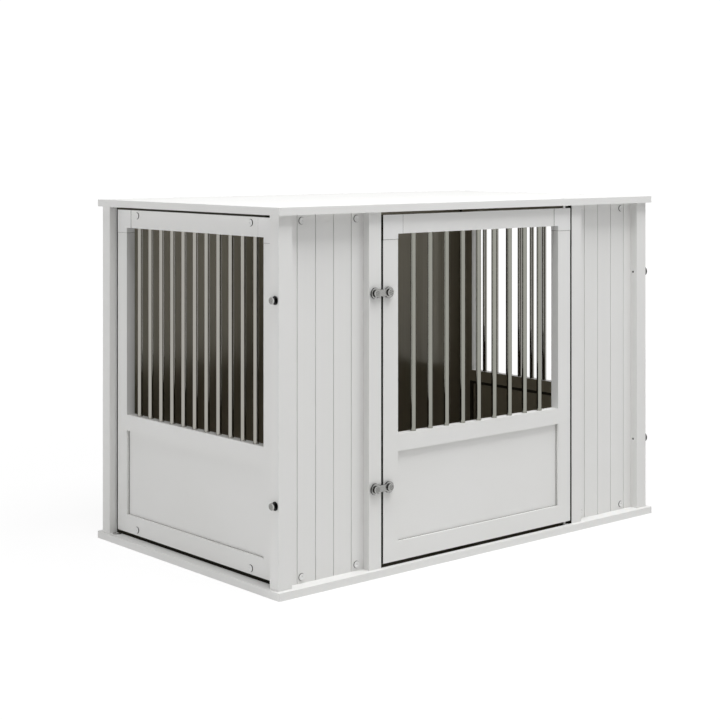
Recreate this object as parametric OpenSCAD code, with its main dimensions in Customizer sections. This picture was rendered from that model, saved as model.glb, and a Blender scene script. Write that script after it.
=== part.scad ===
// Furniture-style pet crate: barred doors at the front and at the right, a fixed barred panel at the left.
// Width along X, front towards -Y, +Z up. Origin: centre of the base board's underside.

/* [Crate] */
// Width of the top and base boards
crate_w = 982; // [900:1:1100]
// Depth of the top and base boards
crate_d = 575; // [540:1:700]
// Height over the top board
crate_h = 660; // [600:1:760]
// Thickness of the top and base boards
board_t = 13.5; // [12:0.5:18]
// Overhang of the boards past the posts at the sides
side_overhang = 7; // [5:0.5:12]
// Overhang of the boards past the posts at the front
front_overhang = 10; // [8:0.5:14]
// Overhang of the boards past the posts at the back
rear_overhang = 7; // [5:0.5:12]

/* [Posts and boards] */
// Width of a post along the crate's width
post_w = 28.5; // [26:0.5:34]
// Depth of a post along the crate's depth
post_d = 25; // [24:0.5:30]
// How far the panels stand behind the posts' outer faces
panel_recess = 16; // [12:0.5:18]
// How far a board reaches into a post's rebate
rebate_w = 9; // [7:0.5:9]
// Spacing of the V grooves
groove_pitch = 40.6; // [34:0.2:46]
// Width of a V groove at the surface
groove_w = 2; // [1.5:0.5:4]
// Depth of a V groove
groove_depth = 3.5; // [1:0.5:4]
// Distance from the corner post to the first V groove
groove_start = 23.7; // [16:0.1:28]
// Number of V grooves in a grooved board
groove_count = 4; // [2:1:4]

/* [Front door] */
// Width of the front door
door_w = 497.5; // [440:0.5:520]
// Gap beside the door
door_gap = 5; // [4:0.5:7]
// Gap between the door and the top board
gap_above = 5.5; // [4:0.5:8]
// Gap between the door and the base board
gap_below = 6.5; // [4:0.5:8]
// Thickness of the doors and of the side panel
frame_t = 18; // [16:0.5:20]
// Width of the door's stiles
door_stile_w = 35.5; // [32:0.5:40]
// Height of a frame's top and bottom rails
rail_h = 34.5; // [30:0.5:40]
// Height of a frame's middle rail
mid_rail_h = 30.5; // [26:0.5:36]
// Height of the middle rail's top above the floor
mid_rail_top = 246.5; // [210:0.5:280]
// Number of tubes in the door
door_tubes = 9; // [6:1:10]
// Distance from a door stile's inner edge to the middle of the first tube
door_tube_margin = 45.25; // [34:0.05:50]
// Thickness of the flat board in the lower half of a frame
lower_board_t = 6; // [4:0.5:9]
// How far the lower board reaches into the groove around it
tongue = 6; // [4:0.5:8]

/* [Left panel and side door] */
// Mean gap between a side frame and the corner posts
side_gap = 5.25; // [4:0.25:7]
// Shift of the left panel towards the back
left_shift = 1; // [0:0.5:3]
// Shift of the side door towards the front
side_door_shift = 2.5; // [0:0.5:3]
// Width of the side frames' stiles
side_stile_w = 32; // [30:0.5:38]
// Number of tubes in a side frame
side_tubes = 11; // [8:1:11]
// Distance from a side stile's inner edge to the middle of the first tube
side_tube_margin = 33.25; // [24:0.05:40]

/* [Tubes] */
// Outer diameter of a tube
tube_d = 10; // [8:0.5:12]
// Wall of a tube
tube_wall = 1; // [0.6:0.1:1.5]
// How far a tube goes into a rail
tube_seat = 12; // [8:1:14]

/* [Corner blocks] */
// Length of a corner block along the rail
block_w = 47.5; // [42:0.5:56]
// Length of a corner block along the stile
block_h = 44.5; // [40:0.5:56]
// How far a corner block stands proud of the frame on each face
block_proud = 0.5; // [0.3:0.1:1]
// Length of a corner block's spigot inside a rail or stile
spigot_len = 10; // [8:1:11]
// Wood left on each face beside a spigot
spigot_wall = 3; // [2:0.5:4]
// Wood left on each edge of a stile beside a spigot
spigot_edge = 6; // [4:0.5:8]
// Wood left above and below a spigot in the top rail
spigot_rim = 8; // [6:0.5:10]

/* [Pivots] */
// Diameter of a pivot pin
pivot_d = 7; // [6:0.5:8]
// Distance of the pivot behind the outer face
pivot_inset = 9; // [8:0.5:10]
// Distance of the pivot from the hinge edge
pivot_edge = 8.5; // [8:0.5:10]
// Diameter of a bush's flange
bush_d = 17.5; // [15:0.5:20]
// Thickness of a bush's flange
bush_flange_t = 1.5; // [1:0.1:2]
// Diameter of a bush's barrel
barrel_d = 11; // [10:0.5:12]
// Length of a bush's barrel
barrel_len = 9; // [8:0.5:10]
// How far a pin goes into its bush
pin_in_bush = 8; // [6:0.5:9]
// How far a pin goes into the door
pin_in_door = 26; // [20:1:36]
// Diameter of a pivot cap on the top board
cap_d = 12.5; // [12:0.5:16]
// How far a pivot cap stands proud of the top board
cap_proud = 1.5; // [1:0.5:3]
// Length of a pivot cap's stem in the top board
cap_stem = 3; // [2:0.5:3]

/* [Latches] */
// Distance of the upper latch below the top of the door
latch_drop = 138; // [90:1:220]
// Height of the lower latch above the floor
latch_low = 156; // [100:1:200]
// Distance between the two studs of a latch
stud_spacing = 32.2; // [30:0.1:36]
// Distance of the door stud from the door's edge
stud_edge = 10.9; // [8:0.1:13]
// Diameter of a stud's head
head_d = 13; // [11:0.5:15]
// Thickness of a stud's head
head_t = 4; // [3:0.2:5]
// Diameter of a stud's neck
neck_d = 7; // [6:0.5:8]
// Diameter of a stud's screw shank
shank_d = 4; // [3:0.5:5]
// Distance of the studs on the corner posts' sides behind the posts' front faces
side_stud_inset = 10; // [8:0.5:12]
// Depth of the empty end of those studs' holes, which shows as a dark dot on the post's inner side
stud_hole_end = 6; // [2:1:10]
// Wood left behind the shank of a door stud
stud_floor = 3; // [2:0.5:5]
// Diameter of the washer under a stud
washer_d = 15.5; // [14:0.5:18]
// Thickness of the washer under a stud
washer_t = 1.2; // [1:0.1:2]
// Diameter of a hook's round ends
hook_end_d = 20.5; // [18:0.5:24]
// Width of a hook's waist
hook_waist = 12; // [10:0.5:15]
// Thickness of a hook
hook_t = 3.6; // [2:0.1:4]

/* [Fixings] */
// Height of a cleat
cleat_h = 25; // [22:1:30]
// Depth of a cleat
cleat_d = 18; // [16:1:24]
// Diameter of a screw cap
screw_cap_d = 13; // [9:0.5:14]
// Distance of the left panel's screws from the panel's ends
side_screw_in = 68.75; // [60:0.25:90]
// Distance of the left panel's screws from the panel's top and bottom edges
side_screw_edge = 10.5; // [9:0.5:12]
// Height of the grooved boards' screws above or below the boards
front_screw_edge = 11; // [9:0.5:13]
// Distance of the grooved boards' outer screws from the corner post
outer_screw_off = 33; // [31:1:50]
// Distance of the grooved boards' inner screws from the door post
inner_screw_off = 16.2; // [14:0.1:20]
// Diameter of a panel screw's shank
screw_d = 4; // [3:0.5:5]
// Diameter of a panel screw's head
screw_head_d = 7.5; // [6.5:0.5:9]
// Thickness of a panel screw's head
screw_head_t = 2.5; // [2:0.5:3.5]
// Length of a grooved board's screw
front_screw_len = 22; // [18:1:26]
// Length of a left panel's screw
side_screw_len = 32; // [26:1:34]
// Thickness of a screw cap
cap_sheet = 1.8; // [0.8:0.1:2]
// Diameter of a post dowel
post_dowel_d = 8; // [6:1:10]
// Length of a post dowel
post_dowel_len = 24; // [20:1:30]
// How far a post dowel goes into the board
dowel_in_board = 8; // [6:0.5:10]
// Diameter of a frame dowel
frame_dowel_d = 6; // [5:0.5:8]
// Length of a frame dowel
frame_dowel_len = 32; // [24:1:36]

/* [Hidden] */

$fn = 48;

// Radial clearance of a tube, a dowel or a screw in its hole
seat_clear = 0.1;
// Radial running clearance of the pivots and of the hooks
run_clear = 0.05;
// Clearance of a tongue in its groove, and of a spigot in its mortise
tongue_clear = 0.1;
// Room past the end of a rod, a tube or a spigot in its blind hole
end_clear = 0.3;
// Clearance of a stud's neck in a hook's slot
slot_clear = 0.5;
// Angle by which a hook's slot runs past its round end
slot_over = 5;
// How far a cutting tool runs past a face
over = 1;

// Main planes
post_low = board_t;
post_high = crate_h - board_t;
front_face = -crate_d / 2 + front_overhang;
rear_face = crate_d / 2 - rear_overhang;
side_face = crate_w / 2 - side_overhang;
post_h = post_high - post_low;

// Grooved boards and back board
grooved_t = post_d - panel_recess;
bay_w = (2 * side_face - 4 * post_w - 2 * door_gap - door_w) / 2;
bay_in = side_face - post_w - bay_w;
door_edge = bay_in - post_w - door_gap;
back_w = 2 * side_face - 2 * post_w + 2 * rebate_w;

// Frames: local x along the width from the middle, local y into the thickness from the outer face
frame_low = post_low + gap_below;
frame_high = post_high - gap_above;
mid_rail_low = mid_rail_top - mid_rail_h;
low_rail_top = frame_low + rail_h;
top_rail_low = frame_high - rail_h;
stile_top = frame_high - block_h;
tube_len = top_rail_low - mid_rail_top + 2 * tube_seat;
tongue_t = lower_board_t + 2 * tongue_clear;
spigot_t = frame_t - 2 * spigot_wall;

// Front door
door_tube_pitch = (door_w - 2 * door_stile_w - 2 * door_tube_margin) / (door_tubes - 1);

// Left panel and side door: the panel is recessed, the door is flush with the posts
side_w = rear_face - front_face - 2 * post_d - 2 * side_gap;
side_tube_pitch = (side_w - 2 * side_stile_w - 2 * side_tube_margin) / (side_tubes - 1);
left_screw_half = side_w / 2 - side_screw_in;
left_screw_z = [frame_low + side_screw_edge, frame_high - side_screw_edge];
left_panel_face = side_face - panel_recess;
left_mid_y = (front_face + rear_face) / 2 + left_shift;
side_door_mid_y = (front_face + rear_face) / 2 - side_door_shift;

// Pivots: the two doors', and the spare one at the left
pivot_x = door_edge - pivot_edge;
pivot_y = front_face + pivot_inset;
side_pivot_x = side_face - pivot_inset;
side_hinge_x = side_w / 2 - pivot_edge;
side_pivot_y = side_door_mid_y + side_hinge_x;
spare_pivot_y = left_mid_y + side_hinge_x;
pivot_places = [[pivot_x, pivot_y], [-side_pivot_x, spare_pivot_y], [side_pivot_x, side_pivot_y]];

// Latches
latch_high = frame_high - latch_drop;
door_stud_x = -door_edge + stud_edge;
post_stud_x = door_stud_x - stud_spacing;
hook_gap = 0.3;
neck_len = hook_t + 2 * hook_gap;
side_stud_y = front_face + side_stud_inset;
side_door_stud_y = side_stud_y + stud_spacing;
side_shank = post_w - stud_hole_end;
door_shank = frame_t - stud_floor;
// Half the width of a hook's slot
slot_half = neck_d / 2 + slot_clear;
// Angle of the slot's arc, enough to run out of the hook's round end
slot_angle = asin(hook_end_d / 2 / stud_spacing) + slot_over;

// Cleats, screws and dowels
cleat_gap = 1;
left_cleat_len = side_w - 2 * (block_w + cleat_gap);
front_cleat_out = left_panel_face - frame_t - cleat_gap;
screw_hole_d = screw_d + 2 * seat_clear;
head_hole_d = screw_head_d + 0.5;
// How deep a screw's head sits behind the panel's face
head_sink = 0.2;
front_screw_x = [side_face - post_w - outer_screw_off, bay_in + inner_screw_off];
post_dowel_up = post_dowel_len - dowel_in_board;

// A board given by its two opposite corners
module board(from, to) {
    translate(from) cube(to - from);
}

// A round rod along Z, starting at a point
module rod(at, d, len) {
    translate(at) cylinder(d = d, h = len);
}

// A round rod along Y, running towards +Y from a point
module rod_y(at, d, len) {
    translate(at) rotate([-90, 0, 0]) cylinder(d = d, h = len);
}

// Places a frame drawn with its outer face at local y = 0 as the left panel
module on_left() {
    translate([-left_panel_face, left_mid_y, 0]) rotate([0, 0, -90]) children();
}

// Places such a frame as the front door
module on_front() {
    translate([0, front_face, 0]) children();
}

// Places such a frame as the side door
module on_right() {
    translate([side_face, side_door_mid_y, 0]) rotate([0, 0, 90]) children();
}

// Heights and places of the dowel holes between the posts and the boards
post_places = [
    [-side_face + post_w / 2, front_face + post_d / 3],
    [side_face - post_w / 2, front_face + post_d / 3],
    [-side_face + post_w / 2, rear_face - post_d / 3],
    [side_face - post_w / 2, rear_face - post_d / 3],
    [-bay_in + post_w / 2, front_face + post_d / 3],
    [bay_in - post_w / 2, front_face + post_d / 3]];

module post_dowel_holes(z, len) {
    for (at = post_places) rod([at[0], at[1], z], post_dowel_d + 2 * seat_clear, len);
}

module top_board() {
    color("white") difference() {
        board([-crate_w / 2, -crate_d / 2, post_high], [crate_w / 2, crate_d / 2, crate_h]);
        post_dowel_holes(post_high - over, over + dowel_in_board + end_clear);
        for (at = pivot_places)
            rod([at[0], at[1], post_high - over], barrel_d + 2 * seat_clear, board_t + 2 * over);
    }
}

module base_board() {
    color("white") difference() {
        board([-crate_w / 2, -crate_d / 2, 0], [crate_w / 2, crate_d / 2, board_t]);
        post_dowel_holes(board_t - dowel_in_board - end_clear, dowel_in_board + end_clear + over);
        for (at = pivot_places)
            rod([at[0], at[1], board_t - barrel_len - end_clear], barrel_d + 2 * seat_clear,
                barrel_len + end_clear + over);
    }
}

// A post from its outer front left corner, with the holes for its dowels
module post(x, y) {
    difference() {
        board([x, y, post_low], [x + post_w, y + post_d, post_high]);
        post_dowel_holes(post_low - over, over + post_dowel_up + end_clear);
        post_dowel_holes(post_high - post_dowel_up - end_clear, post_dowel_up + end_clear + over);
    }
}

// The rebate that takes a board: between x1 and x2, at the back of a front post or the front of a rear one
module rebate(x1, x2, y1, y2) {
    board([min(x1, x2), y1, post_low - over], [max(x1, x2), y2, post_high + over]);
}

// Front corner post, with its rebate and with the holes of the two studs on its side
module front_corner_post(side) {
    x_out = side * side_face;
    x_in = side * (side_face - post_w);
    difference() {
        post(min(x_out, x_in), front_face);
        rebate(x_in - side * over, x_in + side * rebate_w,
            front_face + panel_recess, front_face + post_d + over);
        for (z = [latch_low, latch_high])
            translate([side * (side_face + over), side_stud_y, z]) rotate([0, -90 * side, 0])
                cylinder(d = shank_d + 2 * seat_clear, h = post_w + 2 * over);
    }
}

module front_left_post() {
    color("white") front_corner_post(-1);
}

module front_right_post() {
    color("white") front_corner_post(1);
}

module rear_corner_post(side) {
    x_out = side * side_face;
    x_in = side * (side_face - post_w);
    difference() {
        post(min(x_out, x_in), rear_face - post_d);
        rebate(x_in - side * over, x_in + side * rebate_w,
            rear_face - post_d - over, rear_face - panel_recess);
    }
}

module rear_left_post() {
    color("white") rear_corner_post(-1);
}

module rear_right_post() {
    color("white") rear_corner_post(1);
}

// Post beside the doorway: side -1 carries the latch studs, 1 stands beside the pivots
module door_post(side) {
    x_out = side * bay_in;
    x_in = side * (bay_in - post_w);
    difference() {
        post(min(x_out, x_in), front_face);
        rebate(x_out + side * over, x_out - side * rebate_w,
            front_face + panel_recess, front_face + post_d + over);
        if (side < 0)
            for (z = [latch_low, latch_high])
                rod_y([post_stud_x, front_face - over, z], shank_d + 2 * seat_clear, post_d + 2 * over);
    }
}

module latch_post() {
    color("white") door_post(-1);
}

module hinge_post() {
    color("white") door_post(1);
}

// V groove cut along the full height, its edge lines groove_w apart on the face at y
module v_groove(x, y) {
    half = groove_w / 2;
    translate([x, y, post_low - over]) linear_extrude(post_h + 2 * over)
        polygon([[-half, 0], [-half, -over], [half, -over], [half, 0], [0, groove_depth]]);
}

// Grooved board beside the doorway, set in the rebates of its two posts
module grooved_board(side) {
    y = front_face + panel_recess;
    x_out = side * (side_face - post_w + rebate_w);
    x_in = side * (bay_in - rebate_w);
    difference() {
        board([min(x_out, x_in), y, post_low], [max(x_out, x_in), y + grooved_t, post_high]);
        for (i = [0 : groove_count - 1])
            v_groove(side * (side_face - post_w - groove_start - i * groove_pitch), y);
        for (x = front_screw_x, z = [post_low + front_screw_edge, post_high - front_screw_edge]) {
            rod_y([side * x, y - over, z], head_hole_d, over + head_sink + screw_head_t);
            rod_y([side * x, y - over, z], screw_hole_d, grooved_t + 2 * over);
        }
    }
}

module left_grooved_board() {
    color("white") grooved_board(-1);
}

module right_grooved_board() {
    color("white") grooved_board(1);
}

module back_board() {
    y = rear_face - post_d;
    color("dimgray") board([-back_w / 2, y, post_low], [back_w / 2, y + grooved_t, post_high]);
}

// The three cleats of one board: two behind the grooved boards, one behind the left panel
module cleats(z) {
    y = front_face + post_d;
    low = z < crate_h / 2;
    left_x = -left_panel_face + frame_t;
    for (side = [-1, 1]) difference() {
        x1 = side * bay_in;
        x2 = side * front_cleat_out;
        board([min(x1, x2), y, z], [max(x1, x2), y + cleat_d, z + cleat_h]);
        for (x = front_screw_x)
            rod_y([side * x, y - over, low ? z + front_screw_edge : z + cleat_h - front_screw_edge],
                screw_hole_d, over + front_screw_len + head_sink - grooved_t + end_clear);
    }
    difference() {
        board([left_x, left_mid_y - left_cleat_len / 2, z],
            [left_x + cleat_d, left_mid_y + left_cleat_len / 2, z + cleat_h]);
        for (i = [-1, 1])
            translate([left_x - over, left_mid_y + i * left_screw_half, left_screw_z[low ? 0 : 1]])
                rotate([0, 90, 0])
                    cylinder(d = screw_hole_d, h = over + side_screw_len + head_sink - frame_t + end_clear);
    }
}

module top_cleats() {
    color("burlywood") cleats(post_high - cleat_h);
}

module base_cleats() {
    color("burlywood") cleats(post_low);
}

// Dowel between a rail and a stile: x is the joint between them
module frame_dowel(x, z) {
    translate([x - frame_dowel_len / 2, frame_t / 2, z]) rotate([0, 90, 0])
        cylinder(d = frame_dowel_d, h = frame_dowel_len);
}

module frame_dowel_holes(x) {
    z_low = (frame_low + low_rail_top) / 2;
    z_mid = (mid_rail_low + mid_rail_top) / 2;
    for (z = [z_low, z_mid])
        translate([x - frame_dowel_len / 2 - end_clear, frame_t / 2, z]) rotate([0, 90, 0])
            cylinder(d = frame_dowel_d + 2 * seat_clear, h = frame_dowel_len + 2 * end_clear);
}

// Groove for the lower board's edge, all round its opening
module lower_board_groove(w, stile_w) {
    y = (frame_t - tongue_t) / 2;
    board([-w / 2 + stile_w - tongue - tongue_clear, y, low_rail_top - tongue - tongue_clear],
        [w / 2 - stile_w + tongue + tongue_clear, y + tongue_t, mid_rail_low + tongue + tongue_clear]);
}

// A stile: end -1 is at local -x, 1 at +x
module stile(w, stile_w, end) {
    x1 = end * w / 2;
    x2 = end * (w / 2 - stile_w);
    y = (frame_t - spigot_t) / 2 - tongue_clear;
    difference() {
        board([min(x1, x2), 0, frame_low], [max(x1, x2), frame_t, stile_top]);
        lower_board_groove(w, stile_w);
        frame_dowel_holes(x2);
        board([min(x1, x2) + spigot_edge - tongue_clear, y, stile_top - spigot_len - end_clear],
            [max(x1, x2) - spigot_edge + tongue_clear, y + spigot_t + 2 * tongue_clear, stile_top + over]);
    }
}

// The tube holes of a frame, from one height up to another
module tube_holes(count, pitch, z1, z2) {
    for (i = [0 : count - 1])
        rod([(i - (count - 1) / 2) * pitch, frame_t / 2, z1], tube_d + 2 * seat_clear, z2 - z1);
}

module top_rail(w, count, pitch) {
    half = w / 2 - block_w;
    y = (frame_t - spigot_t) / 2 - tongue_clear;
    difference() {
        board([-half, 0, top_rail_low], [half, frame_t, frame_high]);
        tube_holes(count, pitch, top_rail_low - over, top_rail_low + tube_seat + end_clear);
        for (end = [-1, 1]) {
            x1 = end * (half + over);
            x2 = end * (half - spigot_len - end_clear);
            board([min(x1, x2), y, top_rail_low + spigot_rim - tongue_clear],
                [max(x1, x2), y + spigot_t + 2 * tongue_clear, frame_high - spigot_rim + tongue_clear]);
        }
    }
}

module middle_rail(w, stile_w, count, pitch) {
    half = w / 2 - stile_w;
    difference() {
        board([-half, 0, mid_rail_low], [half, frame_t, mid_rail_top]);
        lower_board_groove(w, stile_w);
        tube_holes(count, pitch, mid_rail_top - tube_seat - end_clear, mid_rail_top + over);
        for (end = [-1, 1]) frame_dowel_holes(end * half);
    }
}

module bottom_rail(w, stile_w) {
    half = w / 2 - stile_w;
    difference() {
        board([-half, 0, frame_low], [half, frame_t, low_rail_top]);
        lower_board_groove(w, stile_w);
        for (end = [-1, 1]) frame_dowel_holes(end * half);
    }
}

// The flat board in the lower half of a frame, its edges in the groove
module lower_board(w, stile_w) {
    y = (frame_t - lower_board_t) / 2;
    board([-w / 2 + stile_w - tongue, y, low_rail_top - tongue],
        [w / 2 - stile_w + tongue, y + lower_board_t, mid_rail_low + tongue]);
}

// A row of steel tubes, set in the top rail and in the middle rail
module tube_row(count, pitch) {
    for (i = [0 : count - 1])
        translate([(i - (count - 1) / 2) * pitch, frame_t / 2, mid_rail_top - tube_seat]) difference() {
            cylinder(d = tube_d, h = tube_len);
            translate([0, 0, -over]) cylinder(d = tube_d - 2 * tube_wall, h = tube_len + 2 * over);
        }
}

// L-shaped block at a top corner, with a spigot into the stile and one into the rail
module corner_block(w, stile_w, end) {
    x1 = end * w / 2;
    x2 = end * (w / 2 - stile_w);
    x3 = end * (w / 2 - block_w);
    y = (frame_t - spigot_t) / 2;
    union() {
        difference() {
            board([min(x1, x3), -block_proud, stile_top], [max(x1, x3), frame_t + block_proud, frame_high]);
            board([min(x2, x3 - end * over), -block_proud - over, stile_top - over],
                [max(x2, x3 - end * over), frame_t + block_proud + over, top_rail_low]);
        }
        board([min(x1, x2) + spigot_edge, y, stile_top - spigot_len],
            [max(x1, x2) - spigot_edge, y + spigot_t, stile_top + over]);
        board([min(x3 + end * over, x3 - end * spigot_len), y, top_rail_low + spigot_rim],
            [max(x3 + end * over, x3 - end * spigot_len), y + spigot_t, frame_high - spigot_rim]);
    }
}

module corner_block_pair(w, stile_w) {
    for (end = [-1, 1]) corner_block(w, stile_w, end);
}

// The dowels of one frame: two at each stile, in the middle and bottom rails
module frame_dowel_set(w, stile_w) {
    z_low = (frame_low + low_rail_top) / 2;
    z_mid = (mid_rail_low + mid_rail_top) / 2;
    for (end = [-1, 1], z = [z_low, z_mid]) frame_dowel(end * (w / 2 - stile_w), z);
}

// The screw holes of the left panel's rails
module left_screw_holes() {
    for (x = [-left_screw_half, left_screw_half], z = left_screw_z) {
        rod_y([x, -over, z], head_hole_d, over + head_sink + screw_head_t);
        rod_y([x, -over, z], screw_hole_d, frame_t + 2 * over);
    }
}

// Left panel: its front stile is at local +x
module left_front_stile() {
    color("white") on_left() stile(side_w, side_stile_w, 1);
}

module left_rear_stile() {
    color("white") on_left() stile(side_w, side_stile_w, -1);
}

module left_top_rail() {
    color("white") on_left() difference() {
        top_rail(side_w, side_tubes, side_tube_pitch);
        left_screw_holes();
    }
}

module left_middle_rail() {
    color("white") on_left() middle_rail(side_w, side_stile_w, side_tubes, side_tube_pitch);
}

module left_bottom_rail() {
    color("white") on_left() difference() {
        bottom_rail(side_w, side_stile_w);
        left_screw_holes();
    }
}

module left_lower_board() {
    color("white") on_left() lower_board(side_w, side_stile_w);
}

module left_tubes() {
    color("silver") on_left() tube_row(side_tubes, side_tube_pitch);
}

module left_corner_blocks() {
    color("white") on_left() corner_block_pair(side_w, side_stile_w);
}

module left_dowels() {
    color("burlywood") on_left() frame_dowel_set(side_w, side_stile_w);
}

// Dowels between the posts and the boards
module post_dowels() {
    color("burlywood") for (at = post_places, z = [post_low - dowel_in_board, post_high - post_dowel_up])
        rod([at[0], at[1], z], post_dowel_d, post_dowel_len);
}

// Screw with a flat round head, pointing along +Y from the head's outer face
module screw(len) {
    rotate([-90, 0, 0]) union() {
        cylinder(d = screw_head_d, h = screw_head_t);
        cylinder(d = screw_d, h = len);
    }
}

// The places of all the panel screws, with their own y at the panel's face
module at_front_screws() {
    for (side = [-1, 1], x = front_screw_x, z = [post_low + front_screw_edge, post_high - front_screw_edge])
        translate([side * x, front_face + panel_recess, z]) children();
}

module at_left_screws() {
    on_left()
        for (x = [-left_screw_half, left_screw_half], z = left_screw_z) translate([x, 0, z]) children();
}

module panel_screws() {
    color("silver") {
        at_front_screws() translate([0, head_sink, 0]) screw(front_screw_len);
        at_left_screws() translate([0, head_sink, 0]) screw(side_screw_len);
    }
}

// Thin round cap that covers a screw's head
module screw_cap() {
    rotate([90, 0, 0]) cylinder(d = screw_cap_d, h = cap_sheet);
}

module screw_caps() {
    color("whitesmoke") {
        at_front_screws() screw_cap();
        at_left_screws() screw_cap();
    }
}

// Flanged bush, its flange on z = 0 and its barrel below
module bush(len) {
    difference() {
        union() {
            cylinder(d = bush_d, h = bush_flange_t);
            translate([0, 0, -len]) cylinder(d = barrel_d, h = len + bush_flange_t);
        }
        translate([0, 0, -len - over])
            cylinder(d = pivot_d + 2 * run_clear, h = len + bush_flange_t + 2 * over);
    }
}

module base_pivot_bushes() {
    color("silver") for (at = pivot_places) translate([at[0], at[1], board_t]) bush(barrel_len);
}

module top_pivot_bushes() {
    color("silver") for (at = pivot_places)
        translate([at[0], at[1], post_high]) rotate([180, 0, 0]) bush(barrel_len);
}

// Low caps over the pivots, on the top board
module pivot_caps() {
    color("gainsboro") for (at = pivot_places) translate([at[0], at[1], crate_h]) union() {
        cylinder(d = cap_d, h = cap_proud);
        translate([0, 0, -cap_stem]) cylinder(d = barrel_d, h = cap_stem + cap_proud);
    }
}

// Shoulder stud pointing out along -Y from the wood's face at y = 0, with its screw shank behind
module stud(shank_len) {
    rotate([90, 0, 0]) union() {
        translate([0, 0, -shank_len]) cylinder(d = shank_d, h = shank_len + washer_t);
        translate([0, 0, washer_t]) cylinder(d = neck_d, h = neck_len);
        translate([0, 0, washer_t + neck_len]) cylinder(d = head_d, h = head_t);
    }
}

// Washer between a stud's neck and the wood
module washer() {
    rotate([90, 0, 0]) difference() {
        cylinder(d = washer_d, h = washer_t);
        translate([0, 0, -over]) cylinder(d = shank_d + 2 * seat_clear, h = washer_t + 2 * over);
    }
}

// The places of a front latch's studs, and of the studs at a side: -1 is the left, 1 the right
module at_front_latches(x) {
    for (z = [latch_low, latch_high]) translate([x, front_face, z]) children();
}

module at_side_latches(side, y) {
    for (z = [latch_low, latch_high])
        translate([side * side_face, y, z]) rotate([0, 0, side * 90]) children();
}

module post_latch_studs() {
    color("silver") {
        at_front_latches(post_stud_x) stud(post_d);
        at_side_latches(1, side_stud_y) stud(side_shank);
    }
}

module spare_studs() {
    color("silver") at_side_latches(-1, side_stud_y) stud(side_shank);
}

module post_stud_washers() {
    color("silver") {
        at_front_latches(post_stud_x) washer();
        for (side = [-1, 1]) at_side_latches(side, side_stud_y) washer();
    }
}

// The holes for a door's two studs and its two pivot pins, at a distance along the door's width
module door_stud_holes(x) {
    for (z = [latch_low, latch_high])
        rod_y([x, -over, z], shank_d + 2 * seat_clear, over + door_shank + end_clear);
}

module lower_pin_hole(x) {
    rod([x, pivot_inset, frame_low - over], pivot_d + 2 * seat_clear, over + pin_in_door + end_clear);
}

module upper_pin_hole(x) {
    rod([x, pivot_inset, frame_high - pin_in_door - end_clear], pivot_d + 2 * seat_clear,
        pin_in_door + end_clear + over);
}

// The lower pin of a door reaches from the base bush into the hinge stile, the upper one from the corner
// block into the top bush
module pivot_pins(x, y) {
    rod([x, y, board_t - pin_in_bush], pivot_d, pin_in_bush + gap_below + pin_in_door);
    rod([x, y, frame_high - pin_in_door], pivot_d, pin_in_door + gap_above + pin_in_bush);
}

// Front door: its hinge stile is at local +x
module front_door_latch_stile() {
    color("white") on_front() difference() {
        stile(door_w, door_stile_w, -1);
        door_stud_holes(door_stud_x);
    }
}

module front_door_hinge_stile() {
    color("white") on_front() difference() {
        stile(door_w, door_stile_w, 1);
        lower_pin_hole(pivot_x);
    }
}

module front_door_top_rail() {
    color("white") on_front() top_rail(door_w, door_tubes, door_tube_pitch);
}

module front_door_middle_rail() {
    color("white") on_front() middle_rail(door_w, door_stile_w, door_tubes, door_tube_pitch);
}

module front_door_bottom_rail() {
    color("white") on_front() bottom_rail(door_w, door_stile_w);
}

module front_door_lower_board() {
    color("white") on_front() lower_board(door_w, door_stile_w);
}

module front_door_tubes() {
    color("silver") on_front() tube_row(door_tubes, door_tube_pitch);
}

module front_door_corner_blocks() {
    color("white") on_front() difference() {
        corner_block_pair(door_w, door_stile_w);
        upper_pin_hole(pivot_x);
    }
}

module front_door_dowels() {
    color("burlywood") on_front() frame_dowel_set(door_w, door_stile_w);
}

module front_door_pivot_pins() {
    color("silver") pivot_pins(pivot_x, pivot_y);
}

module front_door_latch_studs() {
    color("silver") at_front_latches(door_stud_x) stud(door_shank);
}

module front_door_stud_washers() {
    color("silver") at_front_latches(door_stud_x) washer();
}

// Side door: its hinge stile is at local +x, at the back
module side_door_latch_stile() {
    color("white") on_right() difference() {
        stile(side_w, side_stile_w, -1);
        door_stud_holes(side_door_stud_y - side_door_mid_y);
    }
}

module side_door_hinge_stile() {
    color("white") on_right() difference() {
        stile(side_w, side_stile_w, 1);
        lower_pin_hole(side_hinge_x);
    }
}

module side_door_top_rail() {
    color("white") on_right() top_rail(side_w, side_tubes, side_tube_pitch);
}

module side_door_middle_rail() {
    color("white") on_right() middle_rail(side_w, side_stile_w, side_tubes, side_tube_pitch);
}

module side_door_bottom_rail() {
    color("white") on_right() bottom_rail(side_w, side_stile_w);
}

module side_door_lower_board() {
    color("white") on_right() lower_board(side_w, side_stile_w);
}

module side_door_tubes() {
    color("silver") on_right() tube_row(side_tubes, side_tube_pitch);
}

module side_door_corner_blocks() {
    color("white") on_right() difference() {
        corner_block_pair(side_w, side_stile_w);
        upper_pin_hole(side_hinge_x);
    }
}

module side_door_dowels() {
    color("burlywood") on_right() frame_dowel_set(side_w, side_stile_w);
}

module side_door_pivot_pins() {
    color("silver") pivot_pins(side_pivot_x, side_pivot_y);
}

module side_door_latch_studs() {
    color("silver") at_side_latches(1, side_door_stud_y) stud(door_shank);
}

module side_door_stud_washers() {
    color("silver") at_side_latches(1, side_door_stud_y) washer();
}

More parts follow.
